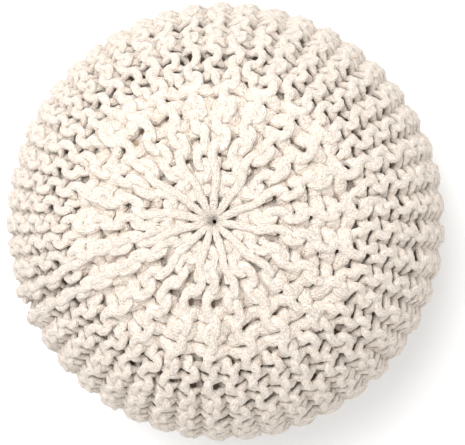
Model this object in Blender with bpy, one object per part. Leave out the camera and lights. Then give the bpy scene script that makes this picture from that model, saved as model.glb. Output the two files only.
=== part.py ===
"""A round knitted pouf, as one filled solid.

The cover is a strip of garter stitch knitted sideways from thick cord. Its ridges run from the
top centre, over the side, to the bottom centre. Short rows leave out some ridges near the two
centres, so 48 ridges at the side become 24 nearer the centre and 12 where they are drawn
together. The two ends of the strip meet in one sewn seam.

Sizes are in metres and +Z is up. The pouf stands on the plane z = 0, centred over the origin.
"""

import math

import bmesh
import bpy
from mathutils import Vector

NAME = "knitted_pouf"

# The whole pouf
DIAMETER = 0.500
HEIGHT = 0.350
WIDEST_HEIGHT = 0.168
CROWN_POWER = 2.05  # 2 is an ellipse, and more is a squarer shoulder
BASE_POWER = 3.0
PRESSED = 0.011  # how much of the rounded base the weight presses flat

# The mesh: three points across each ridge at the side
SIDE_RIDGES = 48
POINTS_PER_RIDGE = 3
RINGS = 31

# The ridges, from the top centre outwards. Each zone has twice the ridges of the one before.
# (ridges, height of a ridge, distance along the surface where the zone ends, width of the change)
RIDGE_ZONES = (
    {"ridges": SIDE_RIDGES // 4, "raise": 0.0080, "ends_at": 0.060, "blend": 0.030},
    {"ridges": SIDE_RIDGES // 2, "raise": 0.0085, "ends_at": 0.182, "blend": 0.045},
    {"ridges": SIDE_RIDGES, "raise": 0.0105, "ends_at": 1.000, "blend": 0.045},
)
SMOOTH_CENTRE = 0.020  # the ridges rise from nothing over this distance from a centre

# The drawn-together centre and the seam
DIMPLE_DEPTH = 0.012
DIMPLE_RADIUS = 0.036
SEAM_ANGLE = math.radians(202.5)
SEAM_DEPTH = 0.008
SEAM_WIDTH = 0.013

# How an even hand-knitted round goes out of true
# (waves round the pouf, how far they go in and out, where the first crest is)
UNEVENNESS = (
    {"waves": 2, "depth": 0.0016, "crest_at": math.radians(150)},
    {"waves": 3, "depth": 0.0012, "crest_at": math.radians(40)},
    {"waves": 5, "depth": 0.0008, "crest_at": math.radians(275)},
)

CORD_COLOUR = (0.87, 0.78, 0.70, 1.0)  # cream cotton, linear
CORD_ROUGHNESS = 0.92


def smooth_step(value, start, end):
    """0 before start, 1 after end, and a soft rise between them."""
    t = min(max((value - start) / (end - start), 0.0), 1.0)
    return t * t * (3.0 - 2.0 * t)


def body_point(tilt):
    """Radius and height of the smooth body, at tilt radians from the top of its meridian."""
    crown = tilt < math.pi / 2.0
    power = CROWN_POWER if crown else BASE_POWER
    rise = HEIGHT - WIDEST_HEIGHT if crown else WIDEST_HEIGHT + PRESSED
    across = math.sin(tilt)
    up = abs(math.cos(tilt))
    scale = (across**power + up**power) ** (-1.0 / power)
    radius = DIAMETER / 2.0 * across * scale
    height = WIDEST_HEIGHT + math.copysign(rise * up * scale, math.cos(tilt))
    return Vector((radius, height))


def meridian():
    """Radius, height, outward direction and surface distance from the nearer centre, by ring."""
    tilts = [math.pi * ring / RINGS for ring in range(RINGS + 1)]
    points = [body_point(tilt) for tilt in tilts]
    distances = [0.0]
    for before, after in zip(points, points[1:]):
        distances.append(distances[-1] + (after - before).length)
    rows = []
    for ring, point in enumerate(points):
        before = points[max(ring - 1, 0)]
        after = points[min(ring + 1, RINGS)]
        along = (after - before).normalized()
        from_centre = min(distances[ring], distances[-1] - distances[ring])
        rows.append((point, Vector((-along.y, along.x)), from_centre))
    return rows


def ridge_raise(angle, from_centre):
    """How far the ridges lift the surface here; each ridge forks into two of the next zone."""
    total = 0.0
    inner_share = 0.0
    for zone in RIDGE_ZONES:
        half = zone["blend"] / 2.0
        outer_share = 1.0 - smooth_step(from_centre, zone["ends_at"] - half, zone["ends_at"] + half)
        share = outer_share - inner_share
        crest = 0.5 + 0.5 * math.cos(zone["ridges"] * angle - math.pi)
        total += share * zone["raise"] * crest
        inner_share = outer_share
    return total * smooth_step(from_centre, 0.0, SMOOTH_CENTRE)


def seam_drop(angle, radius, height):
    """How far the sewn seam draws the surface in; the seam ends where the base touches down."""
    turn = math.remainder(angle - SEAM_ANGLE, 2.0 * math.pi)
    aside = radius * turn
    across = math.exp(-((aside / SEAM_WIDTH) ** 2))
    return SEAM_DEPTH * across * smooth_step(height, 0.01, 0.05)


def out_of_true(angle, radius, height):
    """How far an uneven hand-made round stands out, most at its widest line."""
    waves = sum(
        wave["depth"] * math.cos(wave["waves"] * (angle - wave["crest_at"]))
        for wave in UNEVENNESS
    )
    return waves * smooth_step(radius, 0.0, DIAMETER / 2.0) * smooth_step(height, 0.01, 0.06)


def shaped(angle, ring):
    """The place of one point of the cover."""
    point, outward, from_centre = ring
    radius, height = point
    lift = ridge_raise(angle, from_centre) - seam_drop(angle, radius, height)
    lift += out_of_true(angle, radius, height)
    dimple = DIMPLE_DEPTH * math.exp(-((radius / DIMPLE_RADIUS) ** 2))
    if height < WIDEST_HEIGHT:
        dimple = 0.0
    radius = max(radius + outward.x * lift, 0.0)
    height = height + outward.y * lift - dimple
    return Vector((radius * math.cos(angle), radius * math.sin(angle), height))


def fit_to_size(vertices):
    """Brings the shape to its stated width, depth and height, centred and pressed flat below."""
    lows = [min(v.co[axis] for v in vertices) for axis in range(3)]
    highs = [max(v.co[axis] for v in vertices) for axis in range(3)]
    for v in vertices:
        for axis in (0, 1):
            middle = (lows[axis] + highs[axis]) / 2.0
            v.co[axis] = (v.co[axis] - middle) * DIAMETER / (highs[axis] - lows[axis])
        v.co.z = max(v.co.z * HEIGHT / highs[2], 0.0)


def build_cover(collection):
    """The filled cover: a sphere's points, each moved to its place on the knitted surface."""
    mesh = bpy.data.meshes.new(NAME)
    shape = bmesh.new()
    bmesh.ops.create_uvsphere(
        shape,
        u_segments=SIDE_RIDGES * POINTS_PER_RIDGE,
        v_segments=RINGS,
        radius=1.0,
    )
    rows = meridian()
    for v in shape.verts:
        tilt = math.acos(max(-1.0, min(1.0, v.co.z)))
        ring = rows[round(tilt / math.pi * RINGS)]
        v.co = shaped(math.atan2(v.co.y, v.co.x), ring)
    fit_to_size(shape.verts)
    bmesh.ops.recalc_face_normals(shape, faces=shape.faces)
    shape.to_mesh(mesh)
    shape.free()
    mesh.shade_smooth()
    mesh.set_sharp_from_angle(angle=math.radians(60))
    cover = bpy.data.objects.new(NAME, mesh)
    collection.objects.link(cover)
    return cover


def cotton_cord():
    """Cream cotton cord, matt and soft."""
    material = bpy.data.materials.new("cream cotton cord")
    material.use_nodes = True
    shader = material.node_tree.nodes["Principled BSDF"]
    shader.inputs["Base Color"].default_value = CORD_COLOUR
    shader.inputs["Roughness"].default_value = CORD_ROUGHNESS
    shader.inputs["Metallic"].default_value = 0.0
    return material


def main():
    """Clears the scene and builds the pouf."""
    for old in list(bpy.data.objects):
        bpy.data.objects.remove(old, do_unlink=True)
    collection = bpy.data.collections.new("knitted pouf")
    bpy.context.scene.collection.children.link(collection)
    cover = build_cover(collection)
    cover.data.materials.append(cotton_cord())


main()
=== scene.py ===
"""Dresses the round knitted pouf in its cord.

The cover is knitted here stitch by stitch. One long thread of thick cotton cord runs up and down
the pouf in garter stitch, turns back early in the short rows, and turns in the two gathered
centres. The filled bag lies inside it and shows between the loops.

Sizes are in metres unless a name says otherwise, and +Z is up.
"""

import logging
import math
from dataclasses import dataclass, field
from enum import Enum

import bpy
import numpy as np
from mathutils import Matrix, Vector


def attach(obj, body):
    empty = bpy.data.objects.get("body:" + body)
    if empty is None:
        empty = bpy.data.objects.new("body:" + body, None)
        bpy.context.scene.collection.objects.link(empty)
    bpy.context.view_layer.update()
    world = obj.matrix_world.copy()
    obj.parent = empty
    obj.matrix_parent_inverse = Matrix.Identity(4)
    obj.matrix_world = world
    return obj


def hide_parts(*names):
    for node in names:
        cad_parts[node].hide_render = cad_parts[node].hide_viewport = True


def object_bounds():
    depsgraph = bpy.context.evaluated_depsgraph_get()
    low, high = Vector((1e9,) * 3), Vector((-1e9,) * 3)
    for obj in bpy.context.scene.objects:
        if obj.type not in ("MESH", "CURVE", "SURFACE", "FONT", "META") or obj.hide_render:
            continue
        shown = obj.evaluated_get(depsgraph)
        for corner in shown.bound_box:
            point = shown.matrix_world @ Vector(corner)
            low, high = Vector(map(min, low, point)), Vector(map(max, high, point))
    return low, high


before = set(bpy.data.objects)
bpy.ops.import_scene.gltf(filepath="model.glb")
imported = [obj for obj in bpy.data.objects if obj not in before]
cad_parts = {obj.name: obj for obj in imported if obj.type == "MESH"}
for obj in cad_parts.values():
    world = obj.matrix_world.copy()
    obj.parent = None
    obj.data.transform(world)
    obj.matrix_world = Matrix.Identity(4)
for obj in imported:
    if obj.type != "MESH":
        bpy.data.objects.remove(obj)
CAD_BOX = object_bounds()

log = logging.getLogger("pouf")

NODE = "knitted_pouf"
MM = 0.001
CORD_WIDTH = 12.8 * MM  # what a fullness of 1 stands for, before the cord lies flattened
COVER_CORDS = 1.9  # how thick the cover is, in cord widths


class Stitch(Enum):
    """Which side of the cover a row's loop heads lie on."""

    KNIT = 1.0
    PURL = -1.0


# ---------------------------------------------------------------------------------------------
# The pouf's outside form
# ---------------------------------------------------------------------------------------------


@dataclass
class PoufForm:
    """The smooth outside of the pouf, turned about +Z.

    A place on it is the distance along its meridian from the top centre, an angle about +Z, and
    a rise above the filling.
    """

    half_width: float
    height: float
    cover_thickness: float
    widest_share: float = 0.48  # how high the widest line lies, as a share of the height
    crown_power: float = 2.05  # how full the curve above it is, where 2 is an ellipse
    base_power: float = 3.0  # and the curve below it
    pressed: float = 0.011  # how much of the round the pouf's weight presses flat
    dimple_depth: float = 0.012  # how deep gathering draws in the top centre
    dimple_radius: float = 0.036
    samples: int = 1600

    along: np.ndarray = field(init=False)
    radius: np.ndarray = field(init=False)
    level: np.ndarray = field(init=False)
    out_radial: np.ndarray = field(init=False)
    out_up: np.ndarray = field(init=False)

    def __post_init__(self) -> None:
        """Works out the meridian once, as a table along its length."""
        widest = self.height * self.widest_share
        tilt = np.linspace(0.0, math.pi, self.samples)
        crown = tilt < math.pi / 2.0
        power = np.where(crown, self.crown_power, self.base_power)
        rise = np.where(crown, self.height - widest, widest + self.pressed)
        across = np.sin(tilt)
        up = np.abs(np.cos(tilt))
        scale = (across**power + up**power) ** (-1.0 / power)
        self.radius = self.half_width * across * scale
        level = widest + np.sign(np.cos(tilt)) * rise * up * scale
        self.level = np.maximum(level, 0.0)
        step = np.hypot(np.diff(self.radius), np.diff(self.level))
        self.along = np.concatenate([[0.0], np.cumsum(step)])
        run = np.gradient(self.radius, self.along)
        drop = np.gradient(self.level, self.along)
        size = np.hypot(run, drop)
        self.out_radial = -drop / size
        self.out_up = run / size

    @property
    def length(self) -> float:
        """The meridian's length from the top centre to the bottom centre."""
        return float(self.along[-1])

    @property
    def to_widest(self) -> float:
        """The meridian's length from the top centre to the widest line."""
        return float(self.along[np.argmax(self.radius)])

    def radius_at(self, along: np.ndarray) -> np.ndarray:
        """The outside radius at a distance along the meridian."""
        return np.interp(along, self.along, self.radius)

    def place(self, along: np.ndarray, angle: np.ndarray, rise: np.ndarray) -> np.ndarray:
        """Turns places on the form into points.

        Args:
            along: distances along the meridian from the top centre.
            angle: angles about +Z, in radians.
            rise: heights above the filling, measured outwards.

        Returns:
            An array of points, one row each.
        """
        depth = self.cover_thickness - rise
        radius = self.radius_at(along) - depth * np.interp(along, self.along, self.out_radial)
        level = np.interp(along, self.along, self.level)
        level = level - depth * np.interp(along, self.along, self.out_up)
        near_top = along < self.to_widest
        dimple = self.dimple_depth * np.exp(-((radius / self.dimple_radius) ** 2))
        level = level - np.where(near_top, dimple, 0.0)
        return np.stack([radius * np.cos(angle), radius * np.sin(angle), level], axis=-1)

    def outward(self, along: np.ndarray, angle: np.ndarray) -> np.ndarray:
        """The unit vectors that point out of the form at places on it.

        Args:
            along: distances along the meridian from the top centre.
            angle: angles about +Z, in radians.

        Returns:
            An array of vectors, one row each.
        """
        across = np.interp(along, self.along, self.out_radial)
        up = np.interp(along, self.along, self.out_up)
        return np.stack([across * np.cos(angle), across * np.sin(angle), up], axis=-1)


# ---------------------------------------------------------------------------------------------
# The knitting
# ---------------------------------------------------------------------------------------------


@dataclass(frozen=True)
class LoopShape:
    """How one loop of the garter stitch lies, and how that changes over the pouf."""

    points: int = 48
    wave: float = 4.8 * MM  # how far a ridge's strand swings to either side
    sewn_wave: float = 0.3 * MM  # the same, where the two edges are only sewn together
    lean: float = 0.122  # how far a loop's head is wider than its neck, in stitch widths
    snap: float = 0.08  # how quickly a loop dives behind the cord that crosses it
    inset: float = 0.45  # how deep the swing is measured, as a share of the cover's thickness
    least_radius: float = 0.006  # the radius below which swings are no longer widened
    middle: float = 0.5  # where the cord's middle lies, as a share of the cover's thickness
    depth: float = 6.4 * MM  # how far loops lie before and behind the middle
    inner_depth: float = 0.17  # how much more that is inside the shoulder
    leg_lift: float = 2.6 * MM  # how far the legs between two ridges bulge outwards
    inner_lift: float = 0.6  # how much less that is inside the shoulder
    outer_legs: float = 0.06  # how much fuller the slack legs are outside the shoulder
    inner_legs: float = 0.74  # and inside it
    drawn_deep: float = 2.4 * MM  # how much deeper loops are drawn behind, outside the shoulder
    drawn_thin: float = 0.32  # and how much thinner
    side_from: float = 0.262  # how far from a centre the pouf's side begins
    side_blend: float = 0.05  # and over what distance
    side_lift: float = 0.6 * MM  # how much further the legs bulge on the side
    side_flat: float = 1.2 * MM  # how much less deep its loops lie
    side_tight: float = 0.7  # how much less they are drawn behind
    sunk_from: float = 0.066  # how far from a centre loops begin to sink towards it
    sunk_blend: float = 0.030  # and over what distance
    sunk: float = 0.10  # how far they sink, as a share of the cover's thickness
    sunk_flat: float = 0.35  # how much less deep they lie there


@dataclass(frozen=True)
class Unevenness:
    """How unevenly the cover is knitted by hand.

    What is kept is the share of an amount that one row hands on to the next.
    """

    seed: int = 7
    most: float = 2.2  # the largest amount, where 1 is a usual one
    slip: float = 6.0 * MM  # how far stitches wander along their row
    slip_kept: float = 0.80
    slip_most: float = 1.6
    slip_width: float = 0.034  # the width from which a stitch is free to wander all of that
    slip_at_ends: float = 0.4  # the share of it for a row's first and last stitches
    slip_less: float = 0.5  # how much less it is on the pouf's side
    stray: float = 1.7 * MM  # how far stitches wander to the side
    stray_kept: float = 0.45
    fill: float = 0.07  # how much fuller or thinner a stitch's legs are
    fill_kept: float = 0.20
    lumpy: float = 0.04  # how much the spun cord's own width varies
    lump_points: int = 6  # how many of the thread's points go by from lump to lump


@dataclass(frozen=True)
class SpokeShape:
    """How the straight runs of cord into a gathered centre lie, which come in pairs."""

    points: int = 30
    hole: float = 0.004  # how far from the centre they end
    beside: float = 4.5 * MM  # how far the lower run of a pair lies beside the upper one
    near: float = 0.012  # the radius below which they lie no further aside
    sway: float = 1.3 * MM  # how far a run wavers
    sway_turns: float = 9.0  # how often it does so, in radians
    sway_step: float = 2.4  # how that differs from run to run, in radians
    upper: float = 0.80  # the upper run's height, as a share of the cover's thickness
    lower: float = 0.34  # and the lower run's
    upper_sink: float = 0.30  # how far the upper run sinks into the hole, as such a share
    lower_sink: float = 0.25
    sink_reach: float = 0.006  # how far from the centre it does so


@dataclass(frozen=True)
class EdgeStrands:
    """How the strands along the fabric's two edges lie, which the sewing joins at the seam."""

    points: int = 400
    start: float = 12.0 * MM  # from where they lie on top, past the first turn
    # How many rows from the seam they lie: beside the centres, and past the shoulders
    first_rows: tuple[float, float] = (1.0, 1.0)
    last_rows: tuple[float, float] = (-3.4, -1.0)
    inner: float = 0.03  # how far past the first turn they leave their inner place
    outer: float = 0.04  # how far past the shoulder they reach their outer one
    stitch: float = 20.0 * MM  # from one stitch of the sewing to the next
    sway: float = 1.6 * MM  # how far those stitches pull a strand aside
    near: float = 0.03  # the radius below which they pull it no further
    lift: float = 1.0 * MM  # how far it stands up between them
    sink: float = 0.29  # how far its middle lies below the outside, in cord widths
    tuck: float = 0.4  # how far its ends are tucked in, as a share of the cover's thickness
    tuck_reach: float = 0.010  # and over what distance
    full: float = 0.94  # how full it is
    swell: float = 0.12  # how much fuller between two stitches of the sewing


@dataclass
class GarterThread:
    """The one thread of cord that the cover is knitted from.

    Rows run between the two gathered centres and follow each other round the pouf. Even rows are
    knit and go up, odd rows are purl and go down, so each pair makes one ridge. Of the four pairs
    in a block, two turn back at the shoulder, one turns near the centre, and one reaches it.
    """

    form: PoufForm
    cord: float
    blocks: int = 12
    block_rows: int = 8
    # Where one stitch ends and the next begins, in mm from the centre to the widest line
    stitch_ends_mm: tuple[float, ...] = (10, 26, 54, 88, 123, 158, 189, 219, 249, 278, 306, 334)
    shoulder: int = 5  # the first stitch of a short row
    gather: int = 2  # the first stitch of a row that runs on into the centre
    near_centre: int = 1  # the first stitch of a row that turns beside the centre
    seam_angle: float = math.radians(203.0)
    # How far ridges lie from even spacing: opposite the seam, and halfway to it
    askew: tuple[float, float] = (math.radians(13.0), math.radians(-5.0))
    askew_left: float = 0.75  # the share of that which is left away from the top centre
    askew_reach: float = 0.07  # how far from the centre it lessens to that share
    # How many row widths one row takes up: beside a centre, inside the shoulders, past them
    row_widths: tuple[float, ...] = (4.0, 2.0, 2.0, 1.0)
    # How full the cord is at distances from the nearer centre; gathering draws it thin there
    full_at: tuple[float, ...] = (0.004, 0.016, 0.045, 0.075, 0.120, 0.170, 0.200)
    full: tuple[float, ...] = (0.36, 0.74, 0.76, 0.78, 0.83, 0.85, 0.83)
    turn_points: int = 12
    turn_reach: float = 0.5  # how far a turn reaches past its rows, in cord widths
    shoulder_reach: float = 0.95  # and at the shoulders
    turn_trim: int = 6  # how many of a loop's points give way to a turn
    upper_trim: int = 21  # and to the upper run of a pair of spokes
    lower_trim: int = 9  # and to the lower one
    lowest: float = 0.52  # how high the cord's middle lies above the floor, in cord widths
    loops: LoopShape = LoopShape()
    hand: Unevenness = Unevenness()
    spokes: SpokeShape = SpokeShape()
    edges: EdgeStrands = EdgeStrands()

    ends: np.ndarray = field(init=False)
    stitches: int = field(init=False)
    rows: int = field(init=False)
    random: np.random.Generator = field(init=False)
    slips: np.ndarray = field(init=False)
    strays: np.ndarray = field(init=False)
    fills: np.ndarray = field(init=False)

    @property
    def top_starts(self) -> tuple[int, ...]:
        """The first stitch that each row of a block has at the top."""
        far, near = self.shoulder, self.near_centre
        return (near, near, far, far, self.gather, self.gather, far, far)

    @property
    def base_starts(self) -> tuple[int, ...]:
        """The first stitch that each row of a block has at the bottom."""
        far, near = self.shoulder, self.near_centre
        return (far, near, near, far, far, self.gather, self.gather, far)

    def __post_init__(self) -> None:
        """Sets out the stitches along a row, the rows round the pouf, and how uneven they are."""
        ends = np.array(self.stitch_ends_mm) / self.stitch_ends_mm[-1]
        crown = ends * self.form.to_widest
        base = self.form.length - ends[::-1][1:] * (self.form.length - self.form.to_widest)
        self.ends = np.concatenate([crown, base])
        self.stitches = len(self.ends) - 1
        self.rows = self.blocks * self.block_rows
        hand = self.hand
        self.random = np.random.default_rng(hand.seed)
        slips = self.uneven(hand.slip_kept)
        self.slips = np.clip(slips, -hand.slip_most, hand.slip_most) * hand.slip
        self.strays = self.uneven(hand.stray_kept) * hand.stray
        self.fills = self.uneven(hand.fill_kept) * hand.fill

    def uneven(self, kept: float) -> np.ndarray:
        """Makes an amount of unevenness for each stitch of each row.

        Args:
            kept: how much of it one row hands on to the next.

        Returns:
            An array of rows by stitches, spread about 0 with a spread of 1.
        """
        fresh = self.random.normal(0.0, 1.0, (self.rows, self.stitches))
        amount = fresh.copy()
        for row in range(1, self.rows):
            amount[row] = kept * amount[row - 1] + math.sqrt(1.0 - kept**2) * fresh[row]
        return np.clip(amount, -self.hand.most, self.hand.most)

    def first(self, row: int) -> int:
        """The row's first stitch, counted from the top."""
        return self.top_starts[row % self.block_rows]

    def last(self, row: int) -> int:
        """One more than the row's last stitch, counted from the top."""
        return self.stitches - self.base_starts[row % self.block_rows]

    def neighbour(self, row: int, stitch: int, way: int) -> int:
        """Counts rows to the next row that has this stitch.

        Args:
            row: the row.
            stitch: the stitch, counted from the top.
            way: 1 for the rows after, -1 for the rows before.

        Returns:
            How many rows away the neighbour is, with its sign.
        """
        count = way
        while not self.first(row + count) <= stitch < self.last(row + count):
            count += way
        return count

    def from_centre(self, along: np.ndarray) -> np.ndarray:
        """The distance along the meridian from the nearer centre."""
        return np.minimum(along, self.form.length - along)

    def inside(self, along: np.ndarray) -> np.ndarray:
        """How far inside the shoulders places lie: 0 outside them, and 1 well inside."""
        return np.clip(self.spread(self.from_centre(along)) - 1.0, 0.0, 1.0)

    def on_side(self, along: np.ndarray) -> np.ndarray:
        """How far on the pouf's side places lie: 0 above and below it, and 1 on it."""
        away = self.from_centre(along)
        return np.clip((away - self.loops.side_from) / self.loops.side_blend, 0.0, 1.0)

    def spread(self, away: np.ndarray) -> np.ndarray:
        """How many row widths one row takes up.

        Args:
            away: distances along the meridian from the nearer centre.

        Returns:
            The numbers of row widths.
        """
        near, far = self.ends[self.near_centre], self.ends[self.shoulder]
        # Rows spread into the room that the rows beside them leave as they turn back
        at = [near - 0.004, near + 0.018, far - 0.012, far + 0.014]
        return np.interp(away, at, self.row_widths)

    def fullness(self, along: np.ndarray) -> np.ndarray:
        """How full the cord is along the meridian."""
        return np.interp(self.from_centre(along), self.full_at, self.full)

    def turned(self, share: np.ndarray, along: np.ndarray) -> np.ndarray:
        """The angle at a share of the way round, with the ridges askew.

        Args:
            share: shares of the way round from the seam.
            along: distances along the meridian from the top centre.

        Returns:
            The angles in radians.
        """
        first, second = self.askew
        bend = first * np.sin(math.pi * share) + second * np.sin(2.0 * math.pi * share)
        bend = np.where((share < 0.0) | (share > 1.0), 0.0, bend)
        near_top = np.exp(-((along / self.askew_reach) ** 2))
        drawn = self.askew_left + (1.0 - self.askew_left) * near_top
        return self.seam_angle + 2.0 * math.pi * share + bend * drawn

    def angle(self, row: int, along: np.ndarray) -> np.ndarray:
        """The angle at which a row lies, at distances along the meridian.

        Args:
            row: the row, which may be past the last one.
            along: distances along the meridian from the top centre.

        Returns:
            The angles in radians.
        """
        odd = row % 2
        crown = 2 * (row // 2) + 1 + (odd - 0.5) * self.spread(along)
        base = 2 * ((row + 1) // 2) + (0.5 - odd) * self.spread(self.form.length - along)
        share = np.where(along < self.form.length / 2.0, crown, base) / self.rows
        return self.turned(share, along)

    def swing(self, row: int, stitch: int, along: np.ndarray, turn: np.ndarray) -> np.ndarray:
        """How far a loop's places lie aside of its row, round the pouf.

        Args:
            row: the row.
            stitch: the stitch, counted from the top.
            along: distances along the meridian from the top centre.
            turn: how far round the loop each place is, from -pi to pi.

        Returns:
            The distances, and the radii that turn them into angles.
        """
        shape = self.loops
        radius = self.form.radius_at(along) - self.form.cover_thickness * shape.inset
        radius = np.maximum(radius, shape.least_radius)
        here = self.angle(row, along)
        after = self.angle(row + self.neighbour(row, stitch, 1), along)
        before = self.angle(row + self.neighbour(row, stitch, -1), along)
        gap_after = (after - here) * radius
        gap_before = (here - before) * radius
        head = gap_after / 2.0 + (shape.sewn_wave if row == self.rows - 1 else shape.wave)
        foot = gap_before / 2.0 + (shape.sewn_wave if row == 0 else shape.wave)
        side = (head + foot) / 2.0 * np.cos(turn) + (head - foot) / 2.0
        side = side + self.strays[row, stitch] * np.cos(turn / 2.0)
        return np.stack([side, radius])

    def behind(self, along: np.ndarray, turn: np.ndarray, facing: Stitch) -> np.ndarray:
        """How far a loop's places are drawn behind the cord that crosses them, up to 1.

        Args:
            along: distances along the meridian from the top centre.
            turn: how far round the loop each place is, from -pi to pi.
            facing: which side of the cover the loop's head lies on.

        Returns:
            The shares.
        """
        share = (1.0 - facing.value * np.cos(turn)) / 2.0 * np.cos(turn) ** 2
        tight = 1.0 - self.loops.side_tight * self.on_side(along)
        return share * (1.0 - self.inside(along)) * tight

    def loop_rise(self, along: np.ndarray, turn: np.ndarray, facing: Stitch) -> np.ndarray:
        """How high a loop's places lie above the filling.

        Args:
            along: distances along the meridian from the top centre.
            turn: how far round the loop each place is, from -pi to pi.
            facing: which side of the cover the loop's head lies on.

        Returns:
            The heights.
        """
        shape = self.loops
        inside = self.inside(along)
        on_side = self.on_side(along)
        dive = facing.value * (np.cos(turn) + shape.snap * np.cos(3.0 * turn))
        legs = np.sin(turn) ** 2
        lift = shape.leg_lift * (1.0 - shape.inner_lift * inside) + shape.side_lift * on_side
        deep = shape.depth * (1.0 + shape.inner_depth * inside) - shape.side_flat * on_side
        sunk = np.clip((shape.sunk_from - self.from_centre(along)) / shape.sunk_blend, 0.0, 1.0)
        middle = self.form.cover_thickness * (shape.middle - shape.sunk * sunk)
        rise = middle + deep * (1.0 - shape.sunk_flat * sunk) * dive + lift * legs
        return rise - shape.drawn_deep * self.behind(along, turn, facing)

    def loop(self, row: int, stitch: int) -> np.ndarray:
        """One loop of a row, as places on the form.

        Args:
            row: the row.
            stitch: the stitch, counted from the top.

        Returns:
            Rows of distance along the meridian, angle, rise and fullness, from the top down.
        """
        shape = self.loops
        turn = np.linspace(-math.pi, math.pi, shape.points, endpoint=False)
        start, end = self.ends[stitch], self.ends[stitch + 1]
        width = end - start
        along = (start + end) / 2.0 + width * turn / (2.0 * math.pi)
        along = along + shape.lean * width * np.sin(2.0 * turn)
        facing = Stitch.KNIT if row % 2 == 0 else Stitch.PURL
        side, radius = self.swing(row, stitch, along, turn)
        rise = self.loop_rise(along, turn, facing)
        slack = 1.0 - np.cos(turn) ** 4
        swell = shape.outer_legs + (shape.inner_legs - shape.outer_legs) * self.inside(along)
        full = 1.0 + (swell + self.fills[row, stitch]) * slack
        full = full - shape.drawn_thin * self.behind(along, turn, facing)
        at_end = stitch in (self.first(row), self.last(row) - 1)
        free = self.hand.slip_at_ends if at_end else 1.0
        free = free * min(1.0, width / self.hand.slip_width)
        free = free * (1.0 - self.hand.slip_less * self.on_side(along))
        angle = self.angle(row, along) + side / radius
        along = along + free * self.slips[row, stitch] * np.cos(turn / 2.0)
        return np.stack([along, angle, rise, full], axis=-1)

    def row_places(self, row: int) -> np.ndarray:
        """All of a row's loops.

        Args:
            row: the row.

        Returns:
            The places from the row's top end to its bottom end.
        """
        loops = [self.loop(row, stitch) for stitch in range(self.first(row), self.last(row))]
        places = np.concatenate(loops)
        top = self.end_trim(row, self.top_starts)
        base = self.end_trim(row, self.base_starts)
        return places[top : len(places) - base]

    def end_trim(self, row: int, starts: tuple[int, ...]) -> int:
        """How many points of the loop at a row's end give way to what follows it.

        Args:
            row: the row.
            starts: the first stitch of each row of a block, at that end.

        Returns:
            The number of points.
        """
        if starts[row % self.block_rows] != self.gather:
            return self.turn_trim
        return self.upper_trim if row % 2 == 0 else self.lower_trim

    def turn(self, end: np.ndarray, start: np.ndarray, outward: float) -> np.ndarray:
        """The bend from the end of a row to the start of the next one.

        Args:
            end: the last place of the row.
            start: the first place of the next row.
            outward: how far the bend reaches past the rows, along the meridian.

        Returns:
            The places between the two rows.
        """
        share = np.linspace(0.0, 1.0, self.turn_points)[1:-1, None]
        places = end + (start - end) * share
        places[:, 0] += outward * np.sin(math.pi * share[:, 0])
        return places

    def spoke(self, start: np.ndarray, row: int, at_top: bool) -> np.ndarray:
        """The straight run from a row's last loop into the gathered hole.

        Args:
            start: the place where the row's last loop ends.
            row: the row.
            at_top: whether it is the top centre.

        Returns:
            The places from the row to the hole.
        """
        shape = self.spokes
        thick = self.form.cover_thickness
        is_upper = (row % 2 == 0) == at_top
        centre = 0.0 if at_top else self.form.length
        far = abs(start[0] - centre)
        away = np.linspace(1.0, 0.0, shape.points)[1:]
        reach = shape.hole + (far - shape.hole) * away
        along = np.abs(centre - reach)
        pair = 2 * (row // 2) + 1 if at_top else 2 * ((row + 1) // 2)
        middle = self.turned(np.full_like(along, pair / self.rows), along)
        # The third of the way next to the loop eases into it
        ease = np.clip(away * 3.0 - 2.0, 0.0, 1.0)
        ease = ease**2 * (3.0 - 2.0 * ease)
        aside = 0.0 if is_upper else shape.beside / np.maximum(reach, shape.near)
        sway = shape.sway * np.sin(shape.sway_turns * away + shape.sway_step * row)
        sway = sway * away / np.maximum(reach, shape.near)
        angle = middle + aside + sway + (start[1] - middle - aside - sway) * ease
        level = thick * (shape.upper if is_upper else shape.lower)
        rise = level + (start[2] - level) * ease
        sink = thick * (shape.upper_sink if is_upper else shape.lower_sink)
        rise = rise - sink * np.exp(-((reach / shape.sink_reach) ** 2))
        return np.stack([along, angle, rise, np.ones_like(along)], axis=-1)

    def edge_strand(self, rows_in: tuple[float, float]) -> np.ndarray:
        """The straight strand that lies along an edge of the fabric, beside the seam.

        Args:
            rows_in: how many rows from the seam it lies, beside the centres and past the
                shoulders.

        Returns:
            The places from the top downwards.
        """
        shape = self.edges
        start = self.ends[self.near_centre] + shape.start
        along = np.linspace(start, self.form.length - start, shape.points)
        away = self.from_centre(along)
        inner = self.ends[self.near_centre] + shape.inner
        outer = self.ends[self.shoulder] + shape.outer
        share = np.interp(away, [inner, outer], rows_in) / self.rows
        pull = shape.sway * np.cos(math.pi * along / shape.stitch)
        pull = pull / np.maximum(self.form.radius_at(along), shape.near)
        angle = self.seam_angle + 2.0 * math.pi * share + pull
        tucked = shape.tuck * np.exp(-(((away - start) / shape.tuck_reach) ** 2))
        beat = np.sin(2.0 * math.pi * along / shape.stitch)
        rise = self.form.cover_thickness * (1.0 - tucked) - self.cord * shape.sink
        rise = rise + shape.lift * beat
        return np.stack([along, angle, rise, shape.full + shape.swell * beat], axis=-1)

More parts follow.
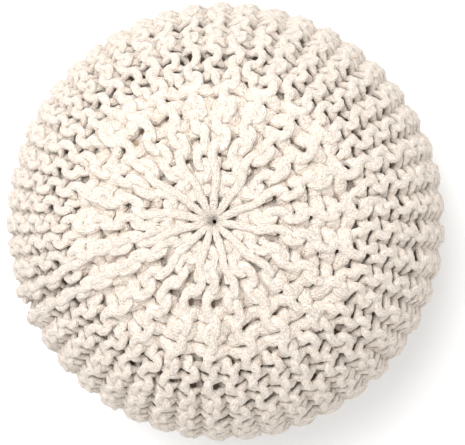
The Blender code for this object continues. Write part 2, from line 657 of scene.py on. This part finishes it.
    def between(self, end: np.ndarray, start: np.ndarray, row: int) -> list[np.ndarray]:
        """What joins the row before to this one: two spokes in a centre, or a turn.

        Args:
            end: the last place of the row before.
            start: the first place of this row.
            row: this row.

        Returns:
            The places between the two, in one or two runs.
        """
        at_top = row % 2 == 1
        starts = self.top_starts if at_top else self.base_starts
        stitch = starts[row % self.block_rows]
        if stitch == self.gather:
            return [self.spoke(end, row - 1, at_top), self.spoke(start, row, at_top)[::-1]]
        reach = self.shoulder_reach if stitch == self.shoulder else self.turn_reach
        return [self.turn(end, start, reach * (-self.cord if at_top else self.cord))]

    def places(self) -> np.ndarray:
        """The whole thread, turning back at each row's end.

        Returns:
            The places on the form, in the order in which the cord runs.
        """
        run = [self.edge_strand(self.edges.first_rows)]
        for row in range(self.rows):
            places = self.row_places(row)
            if row % 2 == 0:
                places = places[::-1]
            if row > 0:
                run.extend(self.between(run[-1][-1], places[0], row))
            run.append(places)
        run.append(self.edge_strand(self.edges.last_rows)[::-1])
        return np.concatenate(run)

    def thread(self, spacing: float) -> np.ndarray:
        """The thread as evenly spaced points.

        Args:
            spacing: the distance from point to point.

        Returns:
            Rows of a point, the cord's fullness there, and the way out of the form.
        """
        places = self.places()
        points = self.form.place(places[:, 0], places[:, 1], places[:, 2])
        points[:, 2] = np.maximum(points[:, 2], self.cord * self.lowest)
        full = self.fullness(places[:, 0]) * places[:, 3]
        every = self.hand.lump_points
        lumps = self.random.normal(0.0, self.hand.lumpy, len(places) // every + 2)
        at = np.arange(len(places)) / every
        full = full * (1.0 + np.interp(at, range(len(lumps)), lumps))
        out = self.form.outward(places[:, 0], places[:, 1])
        return evenly_spaced(np.column_stack([points, full, out]), spacing)


def evenly_spaced(points: np.ndarray, spacing: float) -> np.ndarray:
    """Sets points along a line at even distances.

    Args:
        points: the line's points, one row each, with anything else they carry after x, y, z.
        spacing: the distance wanted from point to point.

    Returns:
        The new points, with what they carry.
    """
    step = np.linalg.norm(np.diff(points[:, :3], axis=0), axis=1)
    along = np.concatenate([[0.0], np.cumsum(step)])
    at = np.linspace(0.0, along[-1], max(2, round(along[-1] / spacing) + 1))
    return np.stack([np.interp(at, along, column) for column in points.T], axis=-1)


# ---------------------------------------------------------------------------------------------
# Small helpers
# ---------------------------------------------------------------------------------------------


def linear(code: str) -> tuple[float, float, float, float]:
    """Turns an sRGB hex colour into the linear one that shaders take.

    Args:
        code: six hex digits.

    Returns:
        Red, green, blue and alpha.
    """
    parts = [int(code[at : at + 2], 16) / 255.0 for at in (0, 2, 4)]
    tone = [p / 12.92 if p <= 0.04045 else ((p + 0.055) / 1.055) ** 2.4 for p in parts]
    return tone[0], tone[1], tone[2], 1.0


def add_node(
    tree: bpy.types.NodeTree,
    kind: str,
    links: dict[str | int, object] | None = None,
    **settings: object,
) -> bpy.types.Node:
    """Adds a node with its settings and links.

    Args:
        tree: the node tree.
        kind: the node's type.
        links: for each input's name or number, the output socket or the value that goes in.
        **settings: the node's own properties.

    Returns:
        The new node.
    """
    node = tree.nodes.new(kind)
    for name, value in settings.items():
        setattr(node, name, value)
    for name, value in (links or {}).items():
        socket = node.inputs[name]
        if isinstance(value, bpy.types.NodeSocket):
            tree.links.new(value, socket)
        else:
            socket.default_value = value
    return node


# ---------------------------------------------------------------------------------------------
# Finishes
# ---------------------------------------------------------------------------------------------


@dataclass(frozen=True)
class CottonCordFinish:
    """Soft cotton cord, spun thick and left undyed.

    To the eye it is matt and cream. Small tufts and pills break it up, with painted shade in a
    warmer grey between them, and loose fuzz gives it a pale edge.
    """

    light: str = "F3EADF"  # the cotton on the tops of its tufts, the lit end of the painted tuft shade
    deep: str = "C8B8A9"  # painted shade between its tufts, and the darker side of the uneven spinning
    roughness: float = 0.9
    sheen: float = 0.2  # the fuzz
    sheen_roughness: float = 0.6
    bobble: float = 1.4 * MM  # a pill of fibre
    bobble_blend: float = 0.6  # how softly pills run into each other
    fibre: float = 2.2 * MM  # a tuft, drawn coarser than the real one of about 0.5 mm
    fibre_length: float = 0.4  # how much a tuft is drawn out along the cord; less is longer
    fibre_weight: float = 1.6  # how much more tufts count than pills
    mottle: float = 7.0 * MM  # uneven spinning
    mottle_weight: float = 0.3
    lightest: float = 0.95  # the sum of the three patterns where the cord is light
    darkest: float = 1.95  # and where it is deep, in painted shade and uneven spinning together
    relief: float = 1.5 * MM

    def material(self) -> bpy.types.Material:
        """Makes the cord's material.

        Returns:
            The material.
        """
        made = bpy.data.materials.new("spun cotton cord")
        made.use_nodes = True
        tree = made.node_tree
        tree.nodes.clear()
        out = add_node(tree, "ShaderNodeOutputMaterial")
        place = add_node(tree, "ShaderNodeAttribute", attribute_name="cord_place")
        bobble = add_node(
            tree,
            "ShaderNodeTexVoronoi",
            {
                "Vector": place.outputs["Vector"],
                "Scale": 1.0 / self.bobble,
                "Smoothness": self.bobble_blend,
            },
            feature="SMOOTH_F1",
        )
        drawn = add_node(
            tree,
            "ShaderNodeMapping",
            {"Vector": place.outputs["Vector"], "Scale": (1.0, 1.0, self.fibre_length)},
        )
        fibre = add_node(
            tree,
            "ShaderNodeTexNoise",
            {"Vector": drawn.outputs["Vector"], "Scale": 1.0 / self.fibre, "Detail": 3.0},
        )
        rough = add_node(
            tree,
            "ShaderNodeMath",
            {0: fibre.outputs["Fac"], 1: self.fibre_weight, 2: bobble.outputs["Distance"]},
            operation="MULTIPLY_ADD",
        )
        mottle = add_node(
            tree,
            "ShaderNodeTexNoise",
            {"Vector": place.outputs["Vector"], "Scale": 1.0 / self.mottle, "Detail": 2.0},
        )
        mottle_and_tuft_shade = add_node(
            tree,
            "ShaderNodeMath",
            {0: mottle.outputs["Fac"], 1: self.mottle_weight, 2: rough.outputs[0]},
            operation="MULTIPLY_ADD",
        )
        # Painted shade: where the tufts' relief is low, between them, the colour is mixed towards
        # the deep one; the mottle's share is the cotton's own uneven tone
        shade = add_node(
            tree,
            "ShaderNodeMapRange",
            {"Value": mottle_and_tuft_shade.outputs[0], "From Min": self.lightest, "From Max": self.darkest},
        )
        tone = add_node(
            tree,
            "ShaderNodeMix",
            {"Factor": shade.outputs[0], "A": linear(self.light), "B": linear(self.deep)},
            data_type="RGBA",
        )
        bump = add_node(
            tree,
            "ShaderNodeBump",
            {"Height": rough.outputs[0], "Strength": 1.0, "Distance": self.relief},
            invert=True,
        )
        shader = add_node(
            tree,
            "ShaderNodeBsdfPrincipled",
            {
                "Base Color": tone.outputs["Result"],
                "Roughness": self.roughness,
                "Sheen Weight": self.sheen,
                "Sheen Roughness": self.sheen_roughness,
                "Normal": bump.outputs["Normal"],
            },
        )
        tree.links.new(shader.outputs["BSDF"], out.inputs["Surface"])
        return made


@dataclass(frozen=True)
class BagClothFinish:
    """Plain woven cotton of the bag that holds the filling, seen only between the loops.

    To the eye it is the dull, pinkish ground that closes the gaps of the knitting.
    """

    high: str = "C2AA95"  # where a thread crosses over
    low: str = "A48D79"  # painted shade where it dips
    roughness: float = 0.95
    relief: float = 0.3 * MM

    def material(self) -> bpy.types.Material:
        """Makes the bag cloth's material.

        Returns:
            The material.
        """
        made = bpy.data.materials.new("plain woven cotton")
        made.use_nodes = True
        tree = made.node_tree
        tree.nodes.clear()
        out = add_node(tree, "ShaderNodeOutputMaterial")
        threads = add_node(tree, "ShaderNodeUVMap", uv_map="threads")
        crossing = add_node(tree, "ShaderNodeSeparateXYZ", {0: threads.outputs["UV"]})
        warp = add_node(
            tree, "ShaderNodeMath", {0: crossing.outputs["X"], 1: math.pi}, operation="MULTIPLY"
        )
        weft = add_node(
            tree, "ShaderNodeMath", {0: crossing.outputs["Y"], 1: math.pi}, operation="MULTIPLY"
        )
        warp_up = add_node(tree, "ShaderNodeMath", {0: warp.outputs[0]}, operation="SINE")
        weft_up = add_node(tree, "ShaderNodeMath", {0: weft.outputs[0]}, operation="SINE")
        height = add_node(
            tree,
            "ShaderNodeMath",
            {0: warp_up.outputs[0], 1: weft_up.outputs[0]},
            operation="MULTIPLY",
        )
        shade = add_node(
            tree,
            "ShaderNodeMapRange",
            {"Value": height.outputs[0], "From Min": -1.0, "From Max": 1.0},
        )
        # Painted shade: the weave's dips are mixed towards the darker colour, following the same
        # height as the bump
        tone = add_node(
            tree,
            "ShaderNodeMix",
            {"Factor": shade.outputs[0], "A": linear(self.low), "B": linear(self.high)},
            data_type="RGBA",
        )
        bump = add_node(
            tree,
            "ShaderNodeBump",
            {"Height": shade.outputs[0], "Strength": 1.0, "Distance": self.relief},
        )
        shader = add_node(
            tree,
            "ShaderNodeBsdfPrincipled",
            {
                "Base Color": tone.outputs["Result"],
                "Roughness": self.roughness,
                "Normal": bump.outputs["Normal"],
            },
        )
        tree.links.new(shader.outputs["BSDF"], out.inputs["Surface"])
        return made


# ---------------------------------------------------------------------------------------------
# The pieces
# ---------------------------------------------------------------------------------------------


@dataclass
class CordWork:
    """Makes soft cord along a path, as a Geometry Nodes tree.

    The cord lies flattened, with its broad side outwards, and its surface is uneven with tufts.
    """

    wide: float = 0.92  # the section's width, as a share of the cord's
    thick: float = 0.70  # and its thickness
    rounding: float = 0.54  # the radius of its corners, as a share of half the cord's width
    corner: int = 2  # how many steps a corner has
    crinkle: float = 4.4 * MM  # from tuft to tuft
    crinkle_height: float = 4.0 * MM  # how far apart its highest and lowest could lie

    def tree(self) -> bpy.types.GeometryNodeTree:
        """Builds the node tree that lays cord along each line of a mesh.

        Returns:
            The node group.
        """
        tree = bpy.data.node_groups.new("cord along path", "GeometryNodeTree")
        face = tree.interface
        face.new_socket("Geometry", in_out="INPUT", socket_type="NodeSocketGeometry")
        width = face.new_socket("Cord Width", in_out="INPUT", socket_type="NodeSocketFloat")
        width.default_value = 0.010
        face.new_socket("Material", in_out="INPUT", socket_type="NodeSocketMaterial")
        face.new_socket("Geometry", in_out="OUTPUT", socket_type="NodeSocketGeometry")
        given = add_node(tree, "NodeGroupInput")
        path = add_node(tree, "GeometryNodeMeshToCurve", {"Mesh": given.outputs["Geometry"]})
        length = add_node(tree, "GeometryNodeSplineParameter")
        along = add_node(
            tree, "GeometryNodeCaptureAttribute", {"Geometry": path.outputs["Curve"]}
        )
        along.capture_items.new("FLOAT", "along")
        tree.links.new(length.outputs["Length"], along.inputs["along"])
        fullness = add_node(
            tree, "GeometryNodeInputNamedAttribute", {"Name": "fullness"}, data_type="FLOAT"
        )
        half = add_node(
            tree,
            "ShaderNodeMath",
            {0: given.outputs["Cord Width"], 1: 0.5},
            operation="MULTIPLY",
        )
        swell = add_node(
            tree,
            "ShaderNodeMath",
            {0: half.outputs[0], 1: fullness.outputs["Attribute"]},
            operation="MULTIPLY",
        )
        block = add_node(
            tree,
            "GeometryNodeCurvePrimitiveQuadrilateral",
            {"Width": 2.0 * self.thick, "Height": 2.0 * self.wide},
        )
        ring = add_node(
            tree,
            "GeometryNodeFilletCurve",
            {"Curve": block.outputs["Curve"], "Radius": self.rounding, "Count": self.corner},
            mode="POLY",
        )
        spot = add_node(tree, "GeometryNodeInputPosition")
        about = add_node(
            tree, "GeometryNodeCaptureAttribute", {"Geometry": ring.outputs["Curve"]}
        )
        about.capture_items.new("VECTOR", "about")
        tree.links.new(spot.outputs["Position"], about.inputs["about"])
        outward = add_node(
            tree,
            "GeometryNodeInputNamedAttribute",
            {"Name": "outward"},
            data_type="FLOAT_VECTOR",
        )
        upright = add_node(
            tree,
            "GeometryNodeSetCurveNormal",
            {"Curve": along.outputs["Geometry"], "Normal": outward.outputs["Attribute"]},
            mode="FREE",
        )
        tube = add_node(
            tree,
            "GeometryNodeCurveToMesh",
            {
                "Curve": upright.outputs["Curve"],
                "Profile Curve": about.outputs["Geometry"],
                "Scale": swell.outputs[0],
                "Fill Caps": True,
            },
        )
        crinkle = add_node(
            tree, "ShaderNodeTexNoise", {"Scale": 1.0 / self.crinkle, "Detail": 1.0}
        )
        swing = add_node(
            tree,
            "ShaderNodeMath",
            {0: crinkle.outputs["Fac"], 1: self.crinkle_height, 2: -0.5 * self.crinkle_height},
            operation="MULTIPLY_ADD",
        )
        facing = add_node(tree, "GeometryNodeInputNormal")
        shove = add_node(
            tree,
            "ShaderNodeVectorMath",
            {0: facing.outputs["Normal"], "Scale": swing.outputs[0]},
            operation="SCALE",
        )
        crinkled = add_node(
            tree,
            "GeometryNodeSetPosition",
            {"Geometry": tube.outputs["Mesh"], "Offset": shove.outputs[0]},
        )
        lie = add_node(tree, "ShaderNodeSeparateXYZ", {0: about.outputs["about"]})
        out_x = add_node(
            tree,
            "ShaderNodeMath",
            {0: lie.outputs["X"], 1: half.outputs[0]},
            operation="MULTIPLY",
        )
        out_y = add_node(
            tree,
            "ShaderNodeMath",
            {0: lie.outputs["Y"], 1: half.outputs[0]},
            operation="MULTIPLY",
        )
        join = add_node(
            tree,
            "ShaderNodeCombineXYZ",
            {"X": out_x.outputs[0], "Y": out_y.outputs[0], "Z": along.outputs["along"]},
        )
        keep = add_node(
            tree,
            "GeometryNodeStoreNamedAttribute",
            {
                "Geometry": crinkled.outputs["Geometry"],
                "Name": "cord_place",
                "Value": join.outputs[0],
            },
            data_type="FLOAT_VECTOR",
            domain="POINT",
        )
        smooth = add_node(
            tree, "GeometryNodeSetShadeSmooth", {"Geometry": keep.outputs["Geometry"]}
        )
        real = add_node(
            tree, "GeometryNodeRealizeInstances", {"Geometry": smooth.outputs["Geometry"]}
        )
        dressed = add_node(
            tree,
            "GeometryNodeSetMaterial",
            {"Geometry": real.outputs["Geometry"], "Material": given.outputs["Material"]},
        )
        add_node(tree, "NodeGroupOutput", {"Geometry": dressed.outputs["Geometry"]})
        return tree

    def lay(
        self, name: str, line: np.ndarray, width: float, material: bpy.types.Material
    ) -> bpy.types.Object:
        """Lays cord along a line and returns it as one plain mesh.

        Args:
            name: the piece's name.
            line: rows of a point, how full the cord is there as a share of its width, and the
                way out of the pouf.
            width: the cord's width.
            material: the cord's finish.

        Returns:
            The finished piece.
        """
        start = np.arange(len(line) - 1)
        edges = np.stack([start, start + 1], axis=-1)
        mesh = bpy.data.meshes.new(name + "_path")
        mesh.vertices.add(len(line))
        mesh.vertices.foreach_set("co", line[:, :3].astype(np.float32).ravel())
        mesh.edges.add(len(edges))
        mesh.edges.foreach_set("vertices", edges.astype(np.int32).ravel())
        mesh.attributes.new("fullness", "FLOAT", "POINT").data.foreach_set(
            "value", line[:, 3].astype(np.float32)
        )
        mesh.attributes.new("outward", "FLOAT_VECTOR", "POINT").data.foreach_set(
            "vector", line[:, 4:7].astype(np.float32).ravel()
        )
        mesh.update()
        path = bpy.data.objects.new(name + "_path", mesh)
        bpy.context.scene.collection.objects.link(path)
        modifier = path.modifiers.new("cord", "NODES")
        tree = self.tree()
        modifier.node_group = tree
        socket = {
            item.name: item.identifier
            for item in tree.interface.items_tree
            if item.in_out == "INPUT"
        }
        modifier[socket["Cord Width"]] = width
        modifier[socket["Material"]] = material
        bpy.context.view_layer.update()
        shown = path.evaluated_get(bpy.context.evaluated_depsgraph_get())
        finished = bpy.data.meshes.new_from_object(shown)
        finished.name = name
        piece = bpy.data.objects.new(name, finished)
        bpy.context.scene.collection.objects.link(piece)
        bpy.data.objects.remove(path)
        bpy.data.meshes.remove(mesh)
        return piece


@dataclass
class KnittedCover:
    """The cover: the whole thread of cord, cut into pieces of a size that is easy to handle."""

    form: PoufForm
    cord: float
    point_spacing: float = 0.0045  # between the points that the stitches are worked out at
    shown_spacing: float = 0.0032  # between the rings of the cord's mesh
    pieces: int = 6
    finish: CottonCordFinish = CottonCordFinish()

    def build(self) -> list[bpy.types.Object]:
        """Knits the thread and lays cord along it.

        Returns:
            The cover's pieces.
        """
        thread = GarterThread(self.form, self.cord).thread(self.point_spacing)
        log.info("thread: %.1f m of cord", len(thread) * self.point_spacing)
        line = soft_line(thread, self.shown_spacing)
        material = self.finish.material()
        work = CordWork()
        made = []
        cuts = np.linspace(0, len(line) - 1, self.pieces + 1).round().astype(int)
        for index, (start, end) in enumerate(zip(cuts, cuts[1:])):
            part = line[start : end + 1]
            made.append(work.lay(f"knitted_cover_{index + 1}", part, self.cord, material))
        return made


def soft_line(points: np.ndarray, spacing: float) -> np.ndarray:
    """A smooth line near the points, evenly spaced.

    Args:
        points: the points, one row each, with anything else they carry.
        spacing: the distance wanted from point to point.

    Returns:
        The line's points, with what they carry.
    """
    before, at, after = points[:-2], points[1:-1], points[2:]
    parts = []
    # Each point pulls a short curve, which starts and ends halfway to its neighbours
    for share in (0.0, 0.25, 0.5, 0.75):
        low = 0.5 * (1.0 - share) ** 2
        high = 0.5 * share**2
        parts.append(low * before + (1.0 - low - high) * at + high * after)
    line = np.stack(parts, axis=1).reshape(-1, points.shape[1])
    return evenly_spaced(line, spacing)


@dataclass
class FillingBag:
    """The filled bag inside the cover, which shows between the loops."""

    form: PoufForm
    name: str = "filled_bag"
    around: int = 128
    down: int = 96
    threads_round: int = 1200  # the cloth's threads round the bag
    thread: float = 1.2 * MM  # and along it, both drawn about twice as coarse as real ones
    # How far the bag bulges into the cover, at distances from the nearer centre
    bulge_at: tuple[float, ...] = (0.0, 0.012, 0.035, 0.060, 0.150, 0.195)
    bulge: tuple[float, ...] = (-0.016, -0.010, 0.002, 0.007, 0.007, -0.013)
    finish: BagClothFinish = BagClothFinish()

    def build(self) -> bpy.types.Object:
        """Makes the bag as a turned closed skin.

        Returns:
            The piece.
        """
        along = np.linspace(0.0, self.form.length, self.down + 1)[1:-1]
        angle = np.arange(self.around) * 2.0 * math.pi / self.around
        grid_along, grid_angle = np.meshgrid(along, angle, indexing="ij")
        away = np.minimum(grid_along, self.form.length - grid_along).ravel()
        rise = np.interp(away, self.bulge_at, self.bulge)
        rings = self.form.place(grid_along.ravel(), grid_angle.ravel(), rise)
        poles = self.form.place(
            np.array([0.0, self.form.length]), np.zeros(2), np.full(2, self.bulge[0])
        )
        points = np.concatenate([rings, poles])
        top, base = len(rings), len(rings) + 1
        faces = []
        for ring in range(len(along) - 1):
            for spoke in range(self.around):
                side = (spoke + 1) % self.around
                upper, lower = ring * self.around, (ring + 1) * self.around
                faces.append((upper + spoke, lower + spoke, lower + side, upper + side))
        final = (len(along) - 1) * self.around
        for spoke in range(self.around):
            side = (spoke + 1) % self.around
            faces.append((top, spoke, side))
            faces.append((base, final + side, final + spoke))
        mesh = bpy.data.meshes.new(self.name)
        mesh.from_pydata(points.tolist(), [], faces)
        mesh.shade_smooth()
        self.lay_threads(mesh, np.concatenate([grid_along.ravel(), [0.0, self.form.length]]))
        mesh.materials.append(self.finish.material())
        piece = bpy.data.objects.new(self.name, mesh)
        bpy.context.scene.collection.objects.link(piece)
        return piece

    def lay_threads(self, mesh: bpy.types.Mesh, along: np.ndarray) -> None:
        """Counts the cloth's threads over the bag, in the UV map that its weave is drawn from.

        Args:
            mesh: the bag's mesh.
            along: each corner point's distance along the meridian.
        """
        corners = np.zeros(len(mesh.loops), dtype=np.int32)
        mesh.loops.foreach_get("vertex_index", corners)
        starts = np.zeros(len(mesh.polygons), dtype=np.int32)
        mesh.polygons.foreach_get("loop_start", starts)
        round_share = (corners % self.around) / self.around
        # A face that closes the round counts on past the last thread
        for start, end in zip(starts, [*starts[1:], len(corners)]):
            face = round_share[start:end]
            if face.max() - face.min() > 0.5:
                face[face < 0.5] += 1.0
        warp = round_share * self.threads_round
        weft = along[corners] / self.thread
        threads = np.column_stack([warp, weft]).astype(np.float32)
        mesh.uv_layers.new(name="threads").data.foreach_set("uv", threads.ravel())


# ---------------------------------------------------------------------------------------------
# The studio
# ---------------------------------------------------------------------------------------------


@dataclass
class Studio:
    """A pale floor, soft light from the upper left, and the camera almost straight above."""

    elevation: float = math.radians(85.8)
    distance: float = 2.4
    frame_width: int = 465  # the picture's width in pixels
    pixel: float = 0.001129  # a pixel's width at the target
    sensor_mm: float = 36.0
    target: tuple[float, float, float] = (0.0083, -0.0012, 0.17)
    lamp_place: tuple[float, float, float] = (-0.52, 0.88, 2.55)
    lamp_target: tuple[float, float, float] = (0.0, 0.0, 0.2)
    lamp_size: float = 1.9
    lamp_watts: float = 59.5
    surround: float = 1.0  # the white surround's strength
    floor_colour: str = "FAFAFA"
    floor_half: float = 6.0

    def build(self) -> None:
        """Sets up floor, lights, world and camera."""
        bpy.context.scene.view_settings.view_transform = "Standard"
        self.floor()
        self.lights()
        self.camera()

    def floor(self) -> None:
        """Lays a pale floor well past the view."""
        mesh = bpy.data.meshes.new("studio_floor")
        half = self.floor_half
        corners = [(-half, -half, 0), (half, -half, 0), (half, half, 0), (-half, half, 0)]
        mesh.from_pydata(corners, [], [(0, 1, 2, 3)])
        # Uncoated paper off a wide roll: a plain pale ground without gloss
        made = bpy.data.materials.new("matt white paper")
        made.use_nodes = True
        shader = made.node_tree.nodes["Principled BSDF"]
        shader.inputs["Base Color"].default_value = linear(self.floor_colour)
        shader.inputs["Roughness"].default_value = 0.9
        mesh.materials.append(made)
        floor = bpy.data.objects.new("studio_floor", mesh)
        bpy.context.scene.collection.objects.link(floor)

    def lights(self) -> None:
        """A large soft lamp from the upper left, and an even white surround."""
        scene = bpy.context.scene
        world = bpy.data.worlds.new("studio surround")
        world.use_nodes = True
        ground = world.node_tree.nodes["Background"]
        ground.inputs["Color"].default_value = (1.0, 1.0, 1.0, 1.0)
        ground.inputs["Strength"].default_value = self.surround
        scene.world = world
        data = bpy.data.lights.new("soft_lamp", "AREA")
        data.shape = "DISK"
        data.size = self.lamp_size
        data.energy = self.lamp_watts
        lamp = bpy.data.objects.new("soft_lamp", data)
        place = Vector(self.lamp_place)
        lamp.matrix_world = Matrix.Translation(place) @ aim(place, Vector(self.lamp_target))
        scene.collection.objects.link(lamp)

    def camera(self) -> None:
        """Sets the camera at the picture's viewing angle."""
        data = bpy.data.cameras.new("camera")
        data.sensor_fit = "HORIZONTAL"
        data.sensor_width = self.sensor_mm
        width = self.frame_width * self.pixel
        data.lens = self.sensor_mm * self.distance / width
        target = Vector(self.target)
        away = Vector((math.cos(self.elevation), 0.0, math.sin(self.elevation)))
        place = target + away * self.distance
        camera = bpy.data.objects.new("camera", data)
        camera.matrix_world = Matrix.Translation(place) @ aim(place, target, Vector((0, 1, 0)))
        bpy.context.scene.collection.objects.link(camera)
        bpy.context.scene.camera = camera


def aim(place: Vector, target: Vector, up: Vector = Vector((0, 0, 1))) -> Matrix:
    """The turn that points a lamp or camera at a target.

    Args:
        place: where it stands.
        target: what it looks at.
        up: which way is up in its view.

    Returns:
        The turn, as a 4 by 4 matrix.
    """
    back = (place - target).normalized()
    right = up.cross(back).normalized()
    above = back.cross(right)
    return Matrix((right, above, back)).transposed().to_4x4()


def main() -> None:
    """Builds the pouf and the studio, and reports each piece."""
    logging.basicConfig(level=logging.INFO, format="%(name)s: %(message)s")
    low, high = CAD_BOX
    form = PoufForm(
        half_width=(high[0] - low[0]) / 2.0,
        height=high[2] - low[2],
        cover_thickness=COVER_CORDS * CORD_WIDTH,
    )
    bag = FillingBag(form).build()
    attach(bag, "root")
    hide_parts(NODE)
    log.info("%s: %d faces", bag.name, len(bag.data.polygons))
    for piece in KnittedCover(form, CORD_WIDTH).build():
        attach(piece, "root")
        log.info("%s: %d faces", piece.name, len(piece.data.polygons))
    Studio().build()


if __name__ == "__main__":
    main()
